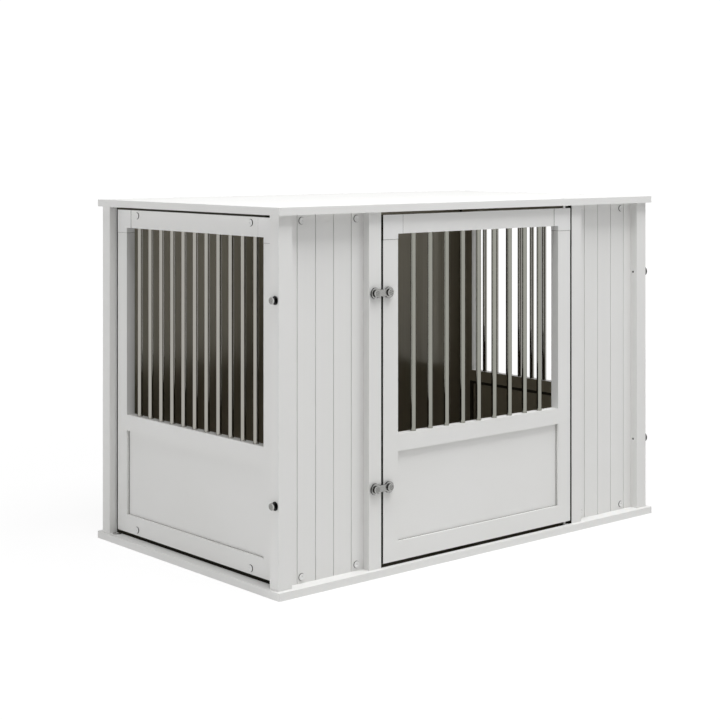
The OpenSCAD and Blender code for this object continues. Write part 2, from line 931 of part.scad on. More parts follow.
// Hook drawn flat on z = 0: bore on the door stud, curved slot that drops over the post stud
module hook_plate() {
    difference() {
        union() {
            cylinder(d = hook_end_d, h = hook_t);
            translate([-stud_spacing, 0, 0]) cylinder(d = hook_end_d, h = hook_t);
            translate([-stud_spacing, -hook_waist / 2, 0]) cube([stud_spacing, hook_waist, hook_t]);
        }
        translate([0, 0, -over]) cylinder(d = neck_d + 2 * run_clear, h = hook_t + 2 * over);
        translate([-stud_spacing, 0, -over]) cylinder(r = slot_half, h = hook_t + 2 * over);
        rotate([0, 0, 180]) rotate_extrude(angle = slot_angle)
            translate([stud_spacing - slot_half, -over]) square([2 * slot_half, hook_t + 2 * over]);
    }
}

// The hook in front of the wood's face at y = 0, its bore at x = 0
module latch_hook() {
    color("lightgray") translate([0, -washer_t - hook_gap, 0]) rotate([90, 0, 0]) hook_plate();
}

module front_upper_latch_hook() {
    translate([door_stud_x, front_face, latch_high]) latch_hook();
}

module front_lower_latch_hook() {
    translate([door_stud_x, front_face, latch_low]) latch_hook();
}

module side_upper_latch_hook() {
    translate([side_face, side_door_stud_y, latch_high]) rotate([0, 0, 90]) latch_hook();
}

module side_lower_latch_hook() {
    translate([side_face, side_door_stud_y, latch_low]) rotate([0, 0, 90]) latch_hook();
}

top_board();
base_board();
front_left_post();
front_right_post();
rear_left_post();
rear_right_post();
latch_post();
hinge_post();
left_grooved_board();
right_grooved_board();
back_board();
top_cleats();
base_cleats();
left_front_stile();
left_rear_stile();
left_top_rail();
left_middle_rail();
left_bottom_rail();
left_lower_board();
left_tubes();
left_corner_blocks();
left_dowels();
post_dowels();
panel_screws();
screw_caps();
top_pivot_bushes();
base_pivot_bushes();
pivot_caps();
post_latch_studs();
spare_studs();
post_stud_washers();
front_door_latch_stile();
front_door_hinge_stile();
front_door_top_rail();
front_door_middle_rail();
front_door_bottom_rail();
front_door_lower_board();
front_door_tubes();
front_door_corner_blocks();
front_door_dowels();
front_door_pivot_pins();
front_door_latch_studs();
front_door_stud_washers();
front_upper_latch_hook();
front_lower_latch_hook();
side_door_latch_stile();
side_door_hinge_stile();
side_door_top_rail();
side_door_middle_rail();
side_door_bottom_rail();
side_door_lower_board();
side_door_tubes();
side_door_corner_blocks();
side_door_dowels();
side_door_pivot_pins();
side_door_latch_studs();
side_door_stud_washers();
side_upper_latch_hook();
side_lower_latch_hook();
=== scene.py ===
# %% [markdown]
# # A white pet crate, dressed in Blender
# This lesson gives those pieces their soft edges and finishes, remakes the small turned fittings in
# more detail, lights the result and places the camera for its photograph.

# %% Load the imported crate
import math

import bmesh
import bpy
from mathutils import Matrix, Vector


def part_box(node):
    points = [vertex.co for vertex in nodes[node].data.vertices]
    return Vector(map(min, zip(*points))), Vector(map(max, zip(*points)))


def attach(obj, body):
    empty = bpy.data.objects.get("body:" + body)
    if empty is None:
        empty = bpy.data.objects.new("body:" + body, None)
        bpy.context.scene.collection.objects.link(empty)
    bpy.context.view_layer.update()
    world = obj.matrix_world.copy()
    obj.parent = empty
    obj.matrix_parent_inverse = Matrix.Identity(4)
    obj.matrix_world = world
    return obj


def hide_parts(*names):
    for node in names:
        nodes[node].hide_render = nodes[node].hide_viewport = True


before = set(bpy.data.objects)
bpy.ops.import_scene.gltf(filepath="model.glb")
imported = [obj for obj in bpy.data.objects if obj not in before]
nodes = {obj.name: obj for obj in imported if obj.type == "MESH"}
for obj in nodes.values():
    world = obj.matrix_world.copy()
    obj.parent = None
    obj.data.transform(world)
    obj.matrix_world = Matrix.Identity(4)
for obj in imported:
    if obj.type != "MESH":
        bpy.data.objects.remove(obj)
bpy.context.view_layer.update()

mm = 0.001

# %% [markdown]
# Small fittings repeat: twelve screw caps, twelve studs, three pivot caps. Each kind is one node of
# the construction model that holds several separate solids. To remake them where they are, the
# places have to be read back. A copy of the node's mesh is merged, because it arrives as loose
# triangles, and is then walked from vertex to vertex until each solid is found.

# %% Find the separate solids of a node
def solids_of(name):
    """The (lowest corner, highest corner) of each separate solid in a node, in a fixed order."""
    work = bmesh.new()
    work.from_mesh(nodes[name].data)
    bmesh.ops.remove_doubles(work, verts=work.verts, dist=0.001 * mm)
    left = set(work.verts)
    boxes = []
    while left:
        found, todo = [], [left.pop()]
        while todo:
            vert = todo.pop()
            found.append(vert.co.copy())
            for edge in vert.link_edges:
                other = edge.other_vert(vert)
                if other in left:
                    left.remove(other)
                    todo.append(other)
        lowest = Vector(min(p[i] for p in found) for i in range(3))
        highest = Vector(max(p[i] for p in found) for i in range(3))
        boxes.append((lowest, highest))
    work.free()
    return sorted(boxes, key=lambda b: tuple(round(v, 5) for v in (*b[0], *b[1])))


for fitting in ("screw_caps", "pivot_caps", "post_latch_studs"):
    print(fitting, len(solids_of(fitting)), "solids")

# %% [markdown]
# Every turned fitting is a profile spun round an axis. The profile is drawn as radius and height
# pairs along +Z. A spin leaves doubled vertices where it closes and may face inwards, so the shape is
# merged and its normals are made to point outwards before it is used.

# %% Turn a profile into a solid
def turned(profile, steps=32):
    """A bmesh spun from (radius, height) pairs round the Z axis."""
    work = bmesh.new()
    verts = [work.verts.new((radius, 0, height)) for radius, height in profile]
    edges = [work.edges.new(pair) for pair in zip(verts, verts[1:])]
    bmesh.ops.spin(work, geom=verts + edges, cent=(0, 0, 0), axis=(0, 0, 1), angle=math.tau,
                   steps=steps, use_merge=True)
    bmesh.ops.remove_doubles(work, verts=work.verts, dist=0.001 * mm)
    bmesh.ops.recalc_face_normals(work, faces=work.faces)
    return work


def rounded(radius, height, corner, segments=4):
    """Points of an outer corner rounded off at (radius, height), from the side to the top."""
    turn = [i * math.pi / 2 / segments for i in range(segments + 1)]
    return [(radius - corner + corner * math.cos(a), height - corner + corner * math.sin(a)) for a in turn]


FRONT_LIMIT = -0.25
SIDE_LIMIT = 0.45


def outward(box):
    """The axis along which a small fitting points away from the crate, and the middle of its outer end."""
    low, high = box
    middle = (low + high) / 2
    if middle.y < FRONT_LIMIT and abs(middle.x) < SIDE_LIMIT:
        return Vector((0, -1, 0)), Vector((middle.x, low.y, middle.z))
    side = 1 if middle.x > 0 else -1
    return Vector((side, 0, 0)), Vector((high.x if side > 0 else low.x, middle.y, middle.z))


def place_copies(name, copies, body, materials, stands_for):
    """One object made of (turned shape, point, direction) copies that stands for a node."""
    work = bmesh.new()
    for shape, point, direction in copies:
        copied = bpy.data.meshes.new("copy")
        shape.to_mesh(copied)
        turn = direction.to_track_quat("Z", "Y").to_matrix().to_4x4()
        copied.transform(Matrix.Translation(point) @ turn)
        work.from_mesh(copied)
        bpy.data.meshes.remove(copied)
    mesh = bpy.data.meshes.new(name)
    work.to_mesh(mesh)
    work.free()
    piece = bpy.data.objects.new(name, mesh)
    bpy.context.scene.collection.objects.link(piece)
    for material in materials:
        mesh.materials.append(material)
    mesh.shade_smooth()
    mesh.set_sharp_from_angle(angle=math.radians(40))
    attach(piece, body)
    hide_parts(stands_for)
    print(name, len(copies), "copies,", len(mesh.polygons), "faces")

# %% [markdown]
# Materials are node trees on Principled shaders. Each reads Object coordinates, which here are metres
# in the crate's own frame, so a pattern keeps its real scale and runs on from piece to piece. A small
# helper makes the tree and another makes noise at a size given in millimetres.

# %% Material helpers
def new_finish(name):
    """A material with its node tree, its Principled shader and its Object coordinates."""
    material = bpy.data.materials.new(name)
    material.use_nodes = True
    tree = material.node_tree
    shader = tree.nodes["Principled BSDF"]
    place = tree.nodes.new("ShaderNodeTexCoord").outputs["Object"]
    return material, tree, shader, place


def node(tree, kind, inputs=None, **settings):
    """A node with its settings and inputs filled in; an input may be a value or another node's output."""
    made = tree.nodes.new(kind)
    for key, value in settings.items():
        setattr(made, key, value)
    for key, value in (inputs or {}).items():
        if isinstance(value, bpy.types.NodeSocket):
            tree.links.new(value, made.inputs[key])
        else:
            made.inputs[key].default_value = value
    return made


def math_node(tree, operation, first, second=0):
    """One step of arithmetic."""
    return node(tree, "ShaderNodeMath", {0: first, 1: second}, operation=operation).outputs[0]


def noise(tree, place, size_mm, stretch=(1, 1, 1), detail=3):
    """Noise whose spots are about size_mm across, longer along an axis with a stretch above 1."""
    scale = [1000 / size_mm / s for s in stretch]
    scaled = node(tree, "ShaderNodeMapping", {"Vector": place, "Scale": scale})
    made = node(tree, "ShaderNodeTexNoise", {"Vector": scaled.outputs[0], "Scale": 1, "Detail": detail})
    return made.outputs["Fac"]


def spread(tree, value, low, high):
    """Maps the middle of a noise's range onto low to high."""
    return node(tree, "ShaderNodeMapRange", {"Value": value, "From Min": 0.3, "From Max": 0.7,
                                             "To Min": low, "To Max": high}).outputs[0]


def between(tree, factor, first, second):
    """A colour between two others."""
    mixed = node(tree, "ShaderNodeMix", {"Factor": factor}, data_type="RGBA")
    for index, colour in ((6, first), (7, second)):
        if isinstance(colour, bpy.types.NodeSocket):
            tree.links.new(colour, mixed.inputs[index])
        else:
            mixed.inputs[index].default_value = (*colour, 1)
    return mixed.outputs[2]


def value_between(tree, factor, first, second):
    """A value between two others."""
    return node(tree, "ShaderNodeMix", {0: factor, 2: first, 3: second}, data_type="FLOAT").outputs[0]


def add_bump(tree, shader, height, depth_mm, strength=1):
    """Small relief in the shading: the height's full swing is depth_mm."""
    bump = node(tree, "ShaderNodeBump", {"Height": height, "Strength": strength, "Distance": depth_mm * mm})
    tree.links.new(bump.outputs[0], shader.inputs["Normal"])


print("helpers ready")

# %% [markdown]
# The crate is white outside and grey-brown inside: a smooth lining covers every face that looks into
# the cabin. The gaps round the doors and the side panel are painted near-black as their shade, and so
# are thin lines of painted shade at seams, ledges and stud holes. The border follows the build, not
# the pieces, so it is described by boxes in the crate's frame: a point is lined when it is inside one
# of the lined boxes and in none of the bare ones, and painted dark as shade when it is also inside one
# of the gaps' boxes, or inside the box of a line of painted shade. No face has to be cut, and a bevel
# at the border gets its two colours by itself.

# %% Where the lining and the painted shade are
def inside(tree, place, box):
    """1 where a point is inside the box between two corners, otherwise 0."""
    low, high = (Vector(corner) for corner in box)
    offset = node(tree, "ShaderNodeVectorMath", {0: place, 1: (low + high) / 2}, operation="SUBTRACT")
    size = node(tree, "ShaderNodeVectorMath", {0: offset.outputs[0]}, operation="ABSOLUTE")
    past = node(tree, "ShaderNodeVectorMath", {0: size.outputs[0], 1: (high - low) / 2}, operation="SUBTRACT")
    axes = node(tree, "ShaderNodeSeparateXYZ", {"Vector": past.outputs[0]}).outputs
    widest = math_node(tree, "MAXIMUM", math_node(tree, "MAXIMUM", axes[0], axes[1]), axes[2])
    return math_node(tree, "LESS_THAN", widest, 0)


def inside_any(tree, place, boxes, mask=0):
    """1 inside any of the boxes, otherwise the mask that is already there."""
    for box in boxes:
        mask = math_node(tree, "MAXIMUM", inside(tree, place, box), mask)
    return mask


def lining_and_shade_masks(tree, place, lined, bare, gaps, lines):
    """1 where a point is lined, and 1 where it is painted dark as shade: in the lined gaps, or on a line of
    painted shade.
    """
    mask = inside_any(tree, place, lined)
    for box in bare:
        mask = math_node(tree, "SUBTRACT", mask, inside(tree, place, box))
    mask = math_node(tree, "MAXIMUM", mask, 0)
    shade_mask = math_node(tree, "MULTIPLY", mask, inside_any(tree, place, gaps))
    return mask, inside_any(tree, place, lines, shade_mask)


SKIN = 0.2 * mm
LIP = 1.0 * mm
BEYOND = 20 * mm
SEAM = 0.5 * mm
LEDGE_SEAM = 1.5 * mm
HOLE_RADIUS = 2.3 * mm
BACK_REACH = 8 * mm


def cabin():
    """The lined and bare boxes of the posts and boards, and the boxes of the gaps, painted dark as shade."""
    panel_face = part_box("left_front_stile")[0].x
    side_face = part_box("side_door_latch_stile")[1].x
    board_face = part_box("left_grooved_board")[0].y
    door_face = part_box("front_door_latch_stile")[0].y
    back_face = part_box("rear_left_post")[0].y
    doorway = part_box("hinge_post")[0].x
    floor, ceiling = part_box("base_board")[1].z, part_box("top_board")[0].z
    front, back = board_face + LIP, back_face + BACK_REACH
    low, high = floor - SKIN, ceiling + SKIN
    lined = [((panel_face + LIP, front, low), (side_face - LIP, back, high)),
             ((-doorway - SKIN, door_face + LIP, low), (doorway + SKIN, front + LIP, high))]
    panel_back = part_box("left_front_stile")[1].x
    side_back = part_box("side_door_latch_stile")[0].x
    door_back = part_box("front_door_latch_stile")[1].y
    gaps = [((panel_face, front, low), (panel_back, back, high)),
            ((side_back, front, low), (side_face, back, high)),
            ((-doorway - SKIN, door_face, low), (doorway + SKIN, door_back, high))]
    return lined, [], gaps


def frame_lining(piece, members, axis, inward):
    """A frame piece's boxes: lined (inner face and outer edges), bare (the rest) and painted shade (the outer
    edges that face the gaps).
    """
    along = "XYZ".index(axis)
    corners = [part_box(member) for member in members]
    low = Vector(min(c[0][i] for c in corners) for i in range(3))
    high = Vector(max(c[1][i] for c in corners) for i in range(3))
    outer, inner = (c[along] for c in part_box(piece)[::inward])
    deep = [low - Vector((BEYOND,) * 3), high + Vector((BEYOND,) * 3)]
    core = [low + Vector((SKIN,) * 3), high - Vector((SKIN,) * 3)]
    deep[0][along], deep[1][along] = sorted((outer + inward * LIP, inner + inward * BEYOND))
    core[0][along], core[1][along] = sorted((outer - inward * BEYOND, inner - inward * SKIN))
    # the outer edges that face the gaps are painted dark as shade
    edge = [corner.copy() for corner in deep]
    edge[0][along], edge[1][along] = sorted((outer, inner - inward * SKIN))
    return [deep], [core], [edge]


def block_seam_shade(name, stile, axis):
    """The boxes of fine lines of painted shade where corner blocks meet a stile's top and the top rail's
    ends.
    """
    along = "XYZ".index(axis)
    stile_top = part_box(f"{name}_{stile}")[1].z
    rail_low, rail_high = (corner[along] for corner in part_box(f"{name}_top_rail"))
    low, high = (corner.copy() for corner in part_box(f"{name}_corner_blocks"))
    seams = []
    spans = ((2, stile_top - SKIN, stile_top + SEAM),
             (along, rail_low - SEAM, rail_low + SKIN),
             (along, rail_high - SKIN, rail_high + SEAM))
    for index, start, end in spans:
        seam = [low - Vector((BEYOND,) * 3), high + Vector((BEYOND,) * 3)]
        seam[0][index], seam[1][index] = start, end
        seams.append(seam)
    return seams


def board_ledge_shade(board, stile, axis, inward):
    """The boxes of painted shade round a thin board: a dark seam outside, and all of the ledge inside,
    painted dark as shade.
    """
    along = "XYZ".index(axis)
    outer, inner = (corner[along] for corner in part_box(board)[::inward])
    frame_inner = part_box(stile)[::inward][1][along]
    seams = []
    for start, end in ((outer - inward * LEDGE_SEAM, outer), (inner, frame_inner)):
        low, high = (corner.copy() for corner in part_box(board))
        low[along], high[along] = sorted((start, end))
        seams.append((low, high))
    return seams


def stud_hole_shade():
    """The boxes of the ends of the stud holes that show on the inner side of the front right post, painted
    dark as the shade in the holes.
    """
    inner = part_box("front_right_post")[0].x
    holes = []
    for low, high in solids_of("post_latch_studs"):
        middle = (low + high) / 2
        if middle.x > SIDE_LIMIT:
            reach = Vector((0, HOLE_RADIUS, HOLE_RADIUS))
            start = Vector((inner + SKIN / 2, middle.y, middle.z))
            holes.append((start - reach, start + reach + Vector((BEYOND, 0, 0))))
    return holes


def inner_slab(piece, inward):
    """The lined box of a board whose one face, at its end along Y, looks into the cabin."""
    low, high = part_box(piece)
    face = high.y if inward > 0 else low.y
    low, high = low - Vector((BEYOND,) * 3), high + Vector((BEYOND,) * 3)
    low.y, high.y = sorted((face - inward * SKIN, face + inward * BEYOND))
    return [(low, high)]


lined_low, lined_high = cabin()[0][0]
print("cabin from", [round(c, 4) for c in lined_low], "to", [round(c, 4) for c in lined_high])

# %% [markdown]
# Outside, the wood is sprayed with a satin white lacquer. Up close such a coat isn't flat: it has a
# fine ripple from spraying, a faint drift in tone from board to board, and patches that are a little
# smoother. The lining is a smooth grey-brown foil with a faint upright grain, glossy enough to mirror
# the light that falls in through the bars. Its colour is an estimate, because the photo shows it only
# in shade.

# %% White lacquer, with or without lined faces
WHITE = (0.78, 0.78, 0.775)
WHITE_WARM = (0.765, 0.765, 0.755)
LINING = (0.29, 0.26, 0.195)
LINING_LIGHT = (0.32, 0.29, 0.22)
# painted shade: the near-black of the gaps round the doors and panel, of thin seams and ledges, and of stud
# holes
GAP_SHADE = (0.030, 0.028, 0.022)
LACQUER_ROUGHNESS = (0.40, 0.50)
LINING_ROUGHNESS = (0.13, 0.20)
GLOSS = 0.8
SHEEN_TINT = (1.0, 0.96, 0.84, 1)


def add_lining(tree, place, masks, colour, roughness):
    """The colour and roughness of a finish, with the lining's where its mask is 1, and a painted near-black
    shade where the shade mask is 1.
    """
    lined, shade_mask = masks
    grain = spread(tree, noise(tree, place, 3, stretch=(1, 1, 60), detail=5), 0, 1)
    colour = between(tree, lined, colour, between(tree, grain, LINING, LINING_LIGHT))
    colour = between(tree, shade_mask, colour, GAP_SHADE)
    either = math_node(tree, "MAXIMUM", lined, shade_mask)
    return colour, value_between(tree, either, roughness, spread(tree, grain, *LINING_ROUGHNESS))


def lacquer(name, lined=(), bare=(), gaps=(), lines=()):
    """Satin white lacquer, with the lining inside the lined boxes and outside the bare ones, and painted
    shade in the gaps and on the shade lines.
    """
    material, tree, shader, place = new_finish(name)
    colour = between(tree, spread(tree, noise(tree, place, 180), 0, 1), WHITE, WHITE_WARM)
    roughness = spread(tree, noise(tree, place, 22), *LACQUER_ROUGHNESS)
    if lined:
        masks = lining_and_shade_masks(tree, place, lined, bare, gaps, lines)
        colour, roughness = add_lining(tree, place, masks, colour, roughness)
    tree.links.new(colour, shader.inputs["Base Color"])
    tree.links.new(roughness, shader.inputs["Roughness"])
    shader.inputs["Specular IOR Level"].default_value = GLOSS
    shader.inputs["Specular Tint"].default_value = SHEEN_TINT
    add_bump(tree, shader, noise(tree, place, 2.4, detail=2), 0.02, strength=0.5)
    return material


white = lacquer("white_lacquer", *cabin())
print("lacquer ready:", white.name)

# %% [markdown]
# The corner blocks, screw caps and pivot caps are moulded in white plastic. It is a shade cleaner
# than the lacquer and has the very fine even texture of a spark-eroded mould. The cleats and the
# dowels are wood: the cleats are painted near-black as shade, because they show only deep behind the
# narrow opening above the side panel, and the dowels are plain pine. The collars and side walls of the
# screw caps are painted dark as contact shade.

# %% Plastic and wood
PLASTIC = (0.79, 0.79, 0.79)
PINE_EARLY = (0.66, 0.50, 0.31)
PINE_LATE = (0.50, 0.33, 0.17)
# the cleats' near-black, painted shade
CLEAT_SHADE_EARLY = (0.100, 0.092, 0.068)
CLEAT_SHADE_LATE = (0.088, 0.080, 0.058)
# painted contact shade of the screw caps' collars and side walls
CAP_SHADE_GREY = (0.05, 0.05, 0.048)
PLASTIC_ROUGHNESS = (0.36, 0.44)


def moulded_plastic(name, lined=(), bare=(), gaps=(), lines=()):
    """White plastic with a fine even texture, lined and painted with shade like the lacquer."""
    material, tree, shader, place = new_finish(name)
    texture = noise(tree, place, 0.5, detail=2)
    colour = between(tree, spread(tree, noise(tree, place, 40), 0, 1), PLASTIC, [c * 0.975 for c in PLASTIC])
    roughness = spread(tree, texture, *PLASTIC_ROUGHNESS)
    if lined:
        masks = lining_and_shade_masks(tree, place, lined, bare, gaps, lines)
        colour, roughness = add_lining(tree, place, masks, colour, roughness)
    tree.links.new(colour, shader.inputs["Base Color"])
    tree.links.new(roughness, shader.inputs["Roughness"])
    shader.inputs["Specular IOR Level"].default_value = GLOSS
    shader.inputs["Specular Tint"].default_value = SHEEN_TINT
    add_bump(tree, shader, texture, 0.01, strength=0.4)
    return material


def wood(name, early, late, stretch):
    """Bare wood, or wood painted dark as shade, whose grain runs along the stretched axes."""
    material, tree, shader, place = new_finish(name)
    rings = noise(tree, place, 5, stretch=stretch, detail=6)
    tree.links.new(between(tree, spread(tree, rings, 0, 1), early, late), shader.inputs["Base Color"])
    tree.links.new(spread(tree, rings, 0.62, 0.5), shader.inputs["Roughness"])
    add_bump(tree, shader, rings, 0.05, strength=0.5)
    return material


def cap_shade_plastic(name):
    """Dark plastic painted on a screw cap's collar and side wall as its contact shade."""
    material, tree, shader, place = new_finish(name)
    tone = spread(tree, noise(tree, place, 3), 0, 1)
    tree.links.new(between(tree, tone, CAP_SHADE_GREY, [c * 0.8 for c in CAP_SHADE_GREY]), shader.inputs["Base Color"])
    tree.links.new(spread(tree, noise(tree, place, 0.5, detail=2), 0.5, 0.6), shader.inputs["Roughness"])
    return material


plastic = moulded_plastic("moulded_plastic")
collar = cap_shade_plastic("cap_collar_shade")
pine = wood("pine", PINE_EARLY, PINE_LATE, (20, 20, 1))
cleat_shade = wood("cleat_shade_wood", CLEAT_SHADE_EARLY, CLEAT_SHADE_LATE, (25, 25, 1))
print("plastic and wood:", plastic.name, pine.name, cleat_shade.name)

# %% [markdown]
# The bars are bright drawn tubes: the drawing leaves fine lines along their length, which spread the
# light a little round the tube. The latch hooks and the studs' faces are turned and polished, and
# keep a sharper reflection with faint scratches. The studs' necks, the back part of their heads'
# rims, the washers and the narrow sides of the hooks are painted near-black as shade, which draws the
# dark outline round each stud. All are metals, so their colour is the colour of what they reflect.
# The tubes have a near-black edge tint, a painted dark reflection, so they reflect less where they
# turn away, and the front door's tubes take a darker tone of the same steel as painted shade.

# %% Steel finishes
SIDE_TUBE = (0.37, 0.36, 0.33)
# the front door's tubes: the same drawn steel in a darker tone, painted shade
DOOR_TUBE_SHADED = (0.31, 0.31, 0.275)
# near-black edge tint: a painted dark reflection at the tubes' edges
TUBE_EDGE_SHADE = (0.03, 0.03, 0.03)
TUBE_ROUGHNESS = (0.03, 0.06)
POLISHED_ROUGHNESS = (0.12, 0.22)
HEAD_ROUGHNESS = (0.22, 0.32)
BLACK_ROUGHNESS = (0.25, 0.35)
DRAWN_LINES = (1, 1, 90)
SCRATCHES = (6, 1, 1)
EVEN_GRAIN = (1, 1, 1)
DRAWN_RELIEF = 0.003
POLISHED_RELIEF = 0.004
POLISHED = (0.46, 0.46, 0.45)
HEAD_FACE = (0.26, 0.26, 0.25)
# painted shade: near-black for stud necks, washers and the narrow sides of the hooks
SHADE_BLACK = (0.03, 0.03, 0.03)


def steel(name, colour, roughness, lines_mm, stretch, relief_mm, black=(), edge=None):
    """A metal with fine lines or scratches, painted near-black as shade inside some boxes, and with a
    near-black edge tint as a painted dark reflection if told.
    """
    material, tree, shader, place = new_finish(name)
    shader.inputs["Metallic"].default_value = 1
    if edge:
        shader.inputs["Specular Tint"].default_value = (*edge, 1)
    lines = noise(tree, place, lines_mm, stretch=stretch, detail=4)
    tone = spread(tree, noise(tree, place, 60), 0, 1)
    tint = between(tree, tone, colour, [c * 0.94 for c in colour])
    # inside these boxes the metal is painted near-black as shade
    if black:
        tint = between(tree, inside_any(tree, place, black), tint, SHADE_BLACK)
    tree.links.new(tint, shader.inputs["Base Color"])
    tree.links.new(spread(tree, lines, *roughness), shader.inputs["Roughness"])
    add_bump(tree, shader, lines, relief_mm, strength=0.3)
    return material


drawn = (TUBE_ROUGHNESS, 0.7, DRAWN_LINES, DRAWN_RELIEF)
side_tube = steel("side_tube_steel", SIDE_TUBE, *drawn, edge=TUBE_EDGE_SHADE)
shaded_door_tube = steel("door_tube_shaded_steel", DOOR_TUBE_SHADED, *drawn, edge=TUBE_EDGE_SHADE)
polished = steel("polished_steel", POLISHED, POLISHED_ROUGHNESS, 0.5, SCRATCHES, POLISHED_RELIEF)
head_face = steel("stud_face_steel", HEAD_FACE, HEAD_ROUGHNESS, 0.5, SCRATCHES, POLISHED_RELIEF)
# near-black painted shade for the studs' necks and the washers
shade_black = steel("shade_black_steel", SHADE_BLACK, BLACK_ROUGHNESS, 0.5, EVEN_GRAIN, POLISHED_RELIEF)
print("steels:", side_tube.name, shaded_door_tube.name, polished.name, shade_black.name)

# %% [markdown]
# The boards and frames keep their construction meshes. Real edges are never knife sharp: the lacquer
# builds a small radius that catches the light. A Weld modifier joins the loose triangles and a Bevel
# rounds only the sharp edges. The frame members get a tighter radius than the boards, so that their
# butt joints show as fine lines, as they do in the photo.

# %% Soften a construction piece and give it its finish
BOARD_EDGE = 1.0
POST_EDGE = 0.7
SHARPEST_DEGREES = 40


def finish_node(name, material, radius_mm=0, segments=2):
    """Gives a node its one material and, with a radius, softened edges."""
    piece = nodes[name]
    piece.data.materials.clear()
    piece.data.materials.append(material)
    if radius_mm:
        weld = piece.modifiers.new("weld", "WELD")
        weld.merge_threshold = 0.005 * mm
        bevel = piece.modifiers.new("bevel", "BEVEL")
        bevel.width = radius_mm * mm
        bevel.segments = segments
        bevel.limit_method = "ANGLE"
        bevel.angle_limit = math.radians(SHARPEST_DEGREES)
        bevel.harden_normals = True


for board in ("top_board", "base_board"):
    finish_node(board, white, BOARD_EDGE, 3)
for post in ("front_left_post", "rear_left_post", "rear_right_post", "latch_post", "hinge_post"):
    finish_node(post, white, POST_EDGE, 3)
# the ends of the stud holes in this post are painted dark as shade
finish_node("front_right_post", lacquer("drilled_post_finish", *cabin(), stud_hole_shade()), POST_EDGE, 3)
for board, inward in (("left_grooved_board", 1), ("right_grooved_board", 1), ("back_board", -1)):
    finish_node(board, lacquer(f"{board}_finish", inner_slab(board, inward)))
print("boards and posts finished")

# %% [markdown]
# The three frames, the fixed panel at the left and the two doors, are built alike: two stiles, three
# rails and a thin board, with an L-shaped plastic block at each top corner. Each gets its own lacquer,
# because each looks into the cabin along its own axis.

# %% Frames
FRAME_EDGE = 0.4
BLOCK_EDGE = 0.8
FRAMES = {
    "left": ("front_stile", "rear_stile", "X", 1),
    "front_door": ("latch_stile", "hinge_stile", "Y", 1),
    "side_door": ("latch_stile", "hinge_stile", "X", -1),
}
for name, (first_stile, second_stile, axis, inward) in FRAMES.items():
    parts = (first_stile, second_stile, "top_rail", "middle_rail", "bottom_rail")
    members = [f"{name}_{part}" for part in parts]
    board, blocks = f"{name}_lower_board", f"{name}_corner_blocks"
    # the seam and the inner ledge round the lower board are painted dark as shade
    ledges = board_ledge_shade(board, members[0], axis, inward)
    lined = lacquer(f"{name}_frame_finish", *frame_lining(members[0], members, axis, inward), ledges)
    for member in members:
        finish_node(member, lined, FRAME_EDGE)
    finish_node(board, lacquer(f"{name}_board_finish", *frame_lining(board, [board], axis, inward)))
    # fine lines of painted shade where the corner blocks meet the stile and the top rail
    seams = block_seam_shade(name, first_stile, "Y" if axis == "X" else "X")
    block_boxes = frame_lining(blocks, members, axis, inward)
    finish_node(blocks, moulded_plastic(f"{name}_block_finish", *block_boxes, seams), BLOCK_EDGE, 3)
    finish_node(f"{name}_tubes", shaded_door_tube if name == "front_door" else side_tube)
    finish_node(f"{name}_dowels", pine)
    print(name, "frame:", len(members) + 4, "pieces")

# %% [markdown]
# The latch hooks are flat plates with bright faces and a narrow side painted near-black as shade,
# told apart by a box that leaves out a thin layer at each face. The small fittings and the wood
# inside keep their construction meshes too, with a fine bevel where they can be seen.

# %% Hooks, washers, pivots and hidden wood
HOOK_FACE = (0.34, 0.34, 0.33)
HOOK_ROUGHNESS = (0.2, 0.3)
HOOK_EDGE = 0.5
FITTING_EDGE = 0.3
CLEAT_EDGE = 0.8
EDGE_INSET = 0.4 * mm


def plate_edge_shade(hook):
    """The box of a plate's narrow side, between its two flat faces, which is painted near-black as shade."""
    low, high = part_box(hook)
    thin = min(range(3), key=lambda i: high[i] - low[i])
    low, high = low - Vector((BEYOND,) * 3), high + Vector((BEYOND,) * 3)
    inset = BEYOND + EDGE_INSET
    low[thin] += inset
    high[thin] -= inset
    return low, high


HOOKS = ("front_upper_latch_hook", "front_lower_latch_hook", "side_upper_latch_hook", "side_lower_latch_hook")
for hook in HOOKS:
    # the hook's narrow side is painted near-black as shade
    side = [plate_edge_shade(hook)]
    plate = steel(f"{hook}_finish", HOOK_FACE, HOOK_ROUGHNESS, 0.5, SCRATCHES, POLISHED_RELIEF, side)
    finish_node(hook, plate, HOOK_EDGE, 3)
# the washers are painted near-black as shade
for washer in ("post_stud_washers", "front_door_stud_washers", "side_door_stud_washers"):
    finish_node(washer, shade_black, FITTING_EDGE)
for bush in ("top_pivot_bushes", "base_pivot_bushes"):
    finish_node(bush, polished, FITTING_EDGE)
for rod in ("front_door_pivot_pins", "side_door_pivot_pins", "panel_screws"):
    finish_node(rod, polished)
finish_node("post_dowels", pine)
# the cleats are painted near-black as shade
for cleats in ("top_cleats", "base_cleats"):
    finish_node(cleats, cleat_shade, CLEAT_EDGE)
print("metal and hidden wood finished")

# %% [markdown]
# Screw caps snap over the screws' heads. Each is a low drum with a rounded rim and a small dimple in
# its middle, on a collar. The collar and the drum's side wall are painted dark as contact shade, which
# shows as a thin ring round it. Collar and dimple are what the eye reads as a ring with a dot at this
# size. Pivot caps are plain and a little crowned.

# %% Caps
COLLAR_WIDTH = 0.6 * mm
COLLAR_HEIGHT = 0.35 * mm
CAP_ROUND = 0.5 * mm
DIMPLE_RADIUS = 1.7 * mm
DIMPLE_DEPTH = 1.0 * mm
SKIRT_HEIGHT = 0.45 * mm
CROWN_STEPS = 8


